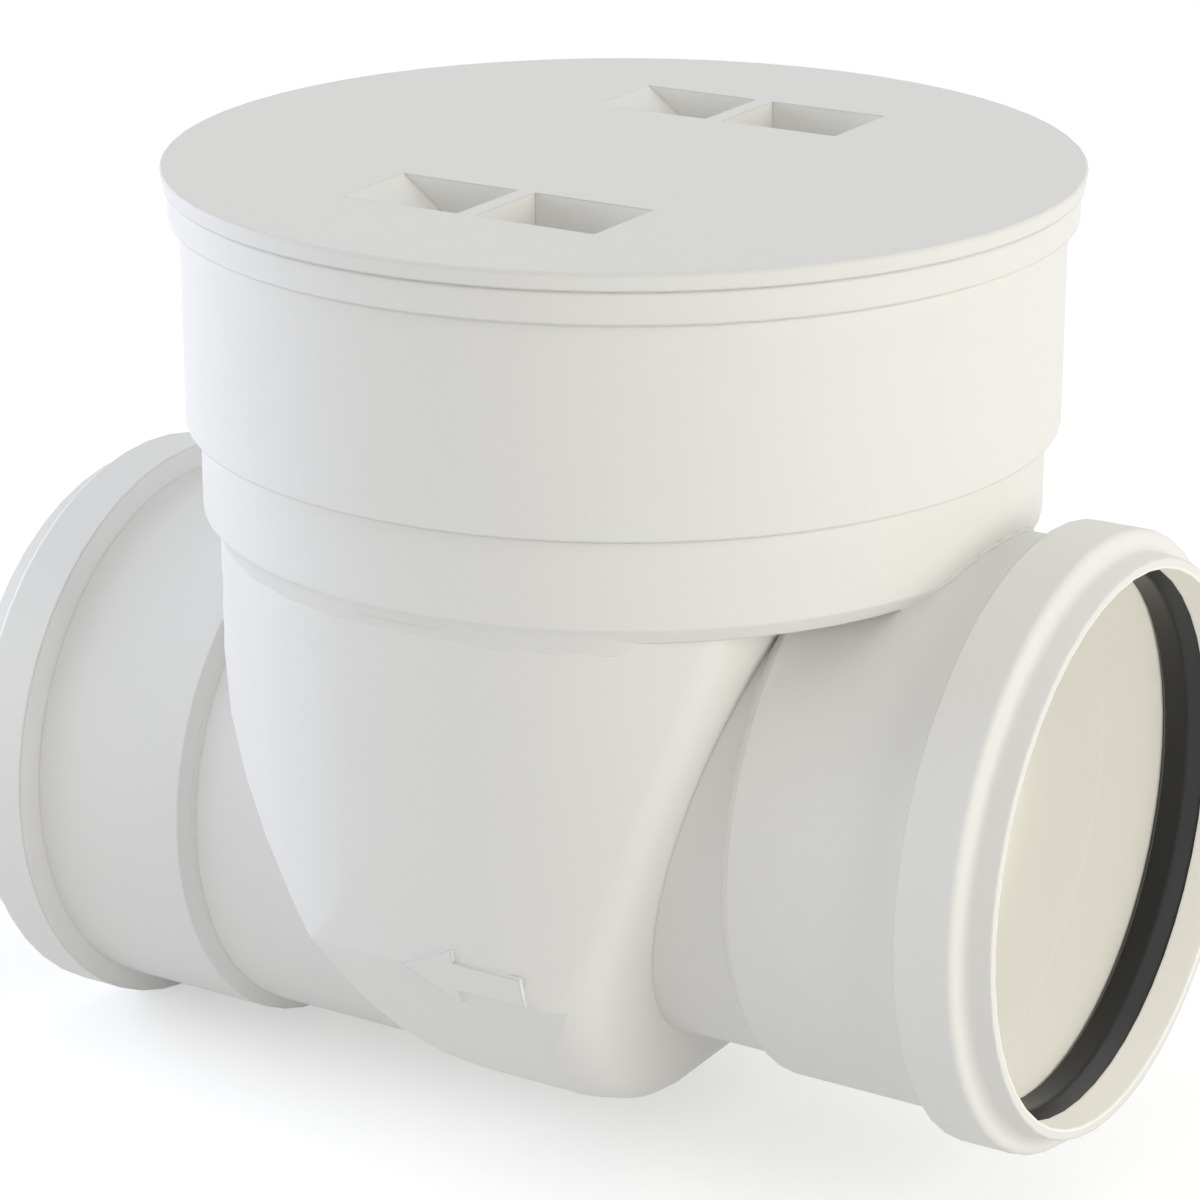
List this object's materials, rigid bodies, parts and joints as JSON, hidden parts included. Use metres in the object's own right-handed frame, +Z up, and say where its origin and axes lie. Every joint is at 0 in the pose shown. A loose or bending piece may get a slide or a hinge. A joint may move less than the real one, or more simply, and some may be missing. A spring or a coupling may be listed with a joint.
{
  "type": "backwater_valve",
  "caption": "DN 100 PVC backwater valve with rubber-ring sockets, a leaning seat with a hanging flap, and a round access chamber closed by a lift-off lid with finger pockets.",
  "frame": {"origin": "centre of the inlet socket's mouth plane, on the inlet pipe's axis", "axes": "+X out of the inlet mouth along the pipe, +Z up towards the lid, +Y completes the right-handed frame"},
  "size_m": [0.2228, 0.1686, 0.1874],
  "materials": {
    "white_pvc": "satin",
    "grey_pvc": "satin",
    "black_rubber": "satin",
    "stainless_steel": "brushed"
  },
  "bodies": {
    "valve": {"housing": "white_pvc", "access_chamber": "white_pvc", "inlet_socket": "white_pvc", "outlet_socket": "white_pvc", "inlet_ring_seal": "black_rubber", "outlet_ring_seal": "black_rubber", "seat_frame": "grey_pvc", "seat_gasket": "black_rubber", "seat_screw_1": "stainless_steel", "seat_screw_2": "stainless_steel", "seat_screw_3": "stainless_steel", "seat_screw_4": "stainless_steel", "hinge_pin": "stainless_steel", "pin_clip_1": "stainless_steel", "pin_clip_2": "stainless_steel"},
    "swinging_flap": {"flap": "grey_pvc", "flap_seal": "black_rubber", "seal_retainer": "grey_pvc", "retainer_screw_1": "stainless_steel", "retainer_screw_2": "stainless_steel", "retainer_screw_3": "stainless_steel", "retainer_screw_4": "stainless_steel"},
    "cover": {"lid": "white_pvc", "lid_o_ring": "black_rubber"}
  },
  "joints": [
    {"name": "flap_swing", "type": "hinge", "parent": "valve", "child": "swinging_flap", "pos_m": [-0.06459, 0, 0.05609], "axis": [0, 1, 0], "range_deg": [0, 70]},
    {"name": "lid_lift", "type": "slide", "parent": "valve", "child": "cover", "axis": [0, 0, 1], "range_m": [0, 0.05]}
  ]
}
